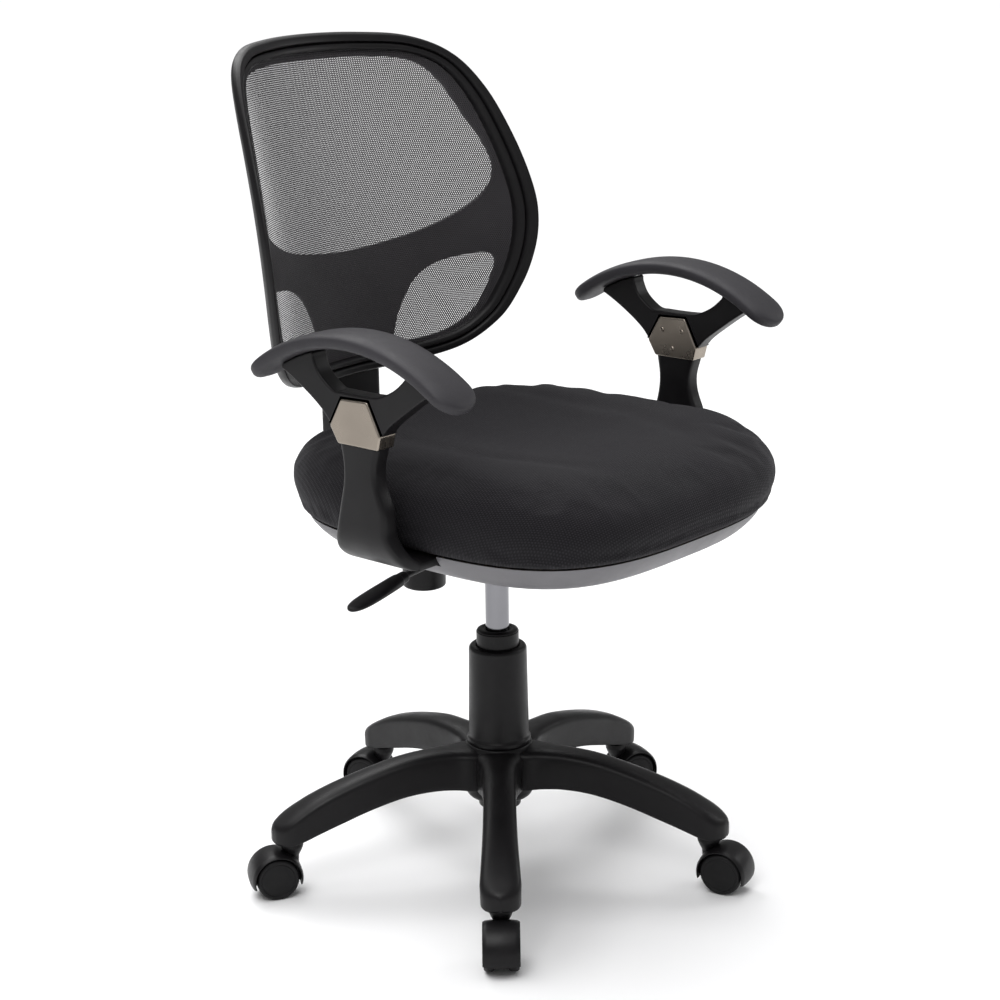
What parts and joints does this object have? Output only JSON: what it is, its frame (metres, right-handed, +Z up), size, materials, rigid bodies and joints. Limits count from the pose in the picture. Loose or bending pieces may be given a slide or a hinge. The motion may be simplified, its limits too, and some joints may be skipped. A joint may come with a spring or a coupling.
{
  "type": "swivel office chair",
  "caption": "Swivel office chair: padded seat, curved mesh back, Y-shaped loop arms, tilt mechanism with lever and knob, gas column and star base on twin-wheel casters.",
  "frame": {"origin": "on the floor under the gas column axis, which is also within a few millimetres of the middle of the bounding box in plan", "axes": "+Z up the gas column; the sitter faces -Y, and the sitter's right hand (lever side) is -X"},
  "size_m": [0.6084, 0.613, 0.969],
  "materials": {
    "nylon": "moulded charcoal black plastic, fine satin grain",
    "polyurethane": "soft self-skinned dark grey pad, satin",
    "tread": "hard black wheel plastic",
    "black_paint": "black powder coat on steel",
    "steel": "plain machined steel",
    "chrome": "hard chrome, polished",
    "champagne": "satin champagne-silver finish",
    "pan_plastic": "mid-grey moulded plastic, matte",
    "knit": "near-black fine knit with a soft grey sheen",
    "mesh": "dark grey see-through woven mesh",
    "board": "raw pressed plywood"
  },
  "bodies": {
    "base": {"star_base": "nylon", "gas_column": "black_paint", "column_bush": "nylon", "column_cover": "nylon"},
    "spindle": {"piston_rod": "steel", "thrust_bearing": "steel"},
    "lift": {"gas_cylinder": "chrome", "rod_gland": "nylon", "mechanism_housing": "black_paint", "tilt_axle": "steel"},
    "seat": {"seat_plate": "black_paint", "seat_board": "board", "seat_cushion": "knit", "seat_pan": "pan_plastic", "back_frame": "nylon", "mesh_carrier": "nylon", "back_mesh": "mesh", "back_bar": "black_paint", "spine_cover": "nylon", "arm_post_left": "nylon", "arm_junction_left": "champagne", "arm_yoke_left": "nylon", "arm_pad_left": "polyurethane", "arm_post_right": "nylon", "arm_junction_right": "champagne", "arm_yoke_right": "nylon", "arm_pad_right": "polyurethane"},
    "lever_carrier": {"lever_bush": "nylon"},
    "lever": {"lever_rod": "black_paint", "lever_paddle": "nylon"},
    "valve": {"valve_pin": "steel"},
    "knob": {"tension_knob": "nylon", "tension_screw": "steel"},
    "cup": {"spring_cup": "steel", "tilt_spring": "steel"},
    "caster_1": {"caster_1_housing": "nylon", "caster_1_stem": "steel"},
    "wheels_1": {"caster_1_axle": "steel", "caster_1_wheel_left": "tread", "caster_1_wheel_right": "tread"},
    "caster_2": {"caster_2_housing": "nylon", "caster_2_stem": "steel"},
    "wheels_2": {"caster_2_axle": "steel", "caster_2_wheel_left": "tread", "caster_2_wheel_right": "tread"},
    "caster_3": {"caster_3_housing": "nylon", "caster_3_stem": "steel"},
    "wheels_3": {"caster_3_axle": "steel", "caster_3_wheel_left": "tread", "caster_3_wheel_right": "tread"},
    "caster_4": {"caster_4_housing": "nylon", "caster_4_stem": "steel"},
    "wheels_4": {"caster_4_axle": "steel", "caster_4_wheel_left": "tread", "caster_4_wheel_right": "tread"},
    "caster_5": {"caster_5_housing": "nylon", "caster_5_stem": "steel"},
    "wheels_5": {"caster_5_axle": "steel", "caster_5_wheel_left": "tread", "caster_5_wheel_right": "tread"}
  },
  "joints": [
    {"name": "swivel", "type": "hinge", "parent": "base", "child": "spindle", "pos_m": [0, 0, 0.1], "axis": [0, 0, 1], "continuous": true},
    {"name": "height", "type": "slide", "parent": "spindle", "child": "lift", "axis": [0, 0, 1], "range_m": [-0.07, 0.04]},
    {"name": "tilt", "type": "hinge", "parent": "lift", "child": "seat", "pos_m": [0, -0.055, 0.43], "axis": [-1, 0, 0], "range_deg": [0, 8], "stiffness_Nm_per_rad": 140, "springref_deg": -8.59, "deforming": ["tilt_spring"]},
    {"name": "lever_pull", "type": "slide", "parent": "lift", "child": "lever_carrier", "axis": [-1, 0, 0], "range_m": [0, 0.012]},
    {"name": "lever_lift", "type": "hinge", "parent": "lever_carrier", "child": "lever", "pos_m": [-0.0405, 0.014, 0.4065], "axis": [0, 1, 0], "range_deg": [0, 4], "stiffness_Nm_per_rad": 1.5, "springref_deg": -3.44},
    {"name": "valve_press", "type": "slide", "parent": "lift", "child": "valve", "axis": [0, 0, -1], "range_m": [0, 0.003]},
    {"name": "knob_turn", "type": "hinge", "parent": "lift", "child": "knob", "pos_m": [0, 0.1155, 0.35], "axis": [0, 0, 1], "range_deg": [0, 1080]},
    {"name": "cup_rise", "type": "slide", "parent": "lift", "child": "cup", "axis": [0, 0, 1], "range_m": [0, 0.0121]},
    {"name": "caster_1_swivel", "type": "hinge", "parent": "base", "child": "caster_1", "pos_m": [-0.19321, -0.16795, 0.06], "axis": [0, 0, 1], "continuous": true},
    {"name": "caster_1_roll", "type": "hinge", "parent": "caster_1", "child": "wheels_1", "pos_m": [-0.20905, -0.18173, 0.025], "axis": [0.6561, -0.7547, 0], "continuous": true},
    {"name": "caster_2_swivel", "type": "hinge", "parent": "base", "child": "caster_2", "pos_m": [0.10003, -0.23565, 0.06], "axis": [0, 0, 1], "continuous": true},
    {"name": "caster_2_roll", "type": "hinge", "parent": "caster_2", "child": "wheels_2", "pos_m": [0.10511, -0.25603, 0.025], "axis": [0.9703, 0.2419, 0], "continuous": true},
    {"name": "caster_3_swivel", "type": "hinge", "parent": "base", "child": "caster_3", "pos_m": [0.25503, 0.02231, 0.06], "axis": [0, 0, 1], "continuous": true},
    {"name": "caster_3_roll", "type": "hinge", "parent": "caster_3", "child": "wheels_3", "pos_m": [0.27436, 0.01411, 0.025], "axis": [0.3907, 0.9205, 0], "continuous": true},
    {"name": "caster_4_swivel", "type": "hinge", "parent": "base", "child": "caster_4", "pos_m": [0.05759, 0.24944, 0.06], "axis": [0, 0, 1], "continuous": true},
    {"name": "caster_4_roll", "type": "hinge", "parent": "caster_4", "child": "wheels_4", "pos_m": [0.05215, 0.26972, 0.025], "axis": [-0.9659, -0.2588, 0], "continuous": true},
    {"name": "caster_5_swivel", "type": "hinge", "parent": "base", "child": "caster_5", "pos_m": [-0.21943, 0.13185, 0.06], "axis": [0, 0, 1], "continuous": true},
    {"name": "caster_5_roll", "type": "hinge", "parent": "caster_5", "child": "wheels_5", "pos_m": [-0.23744, 0.14267, 0.025], "axis": [-0.515, -0.8572, 0], "continuous": true}
  ],
  "couplings": [
    {"joint": "valve_press", "follows": "lever_lift", "m_per_rad": 0.0405},
    {"joint": "cup_rise", "follows": "knob_turn", "m_per_rad": 0.00063662}
  ]
}
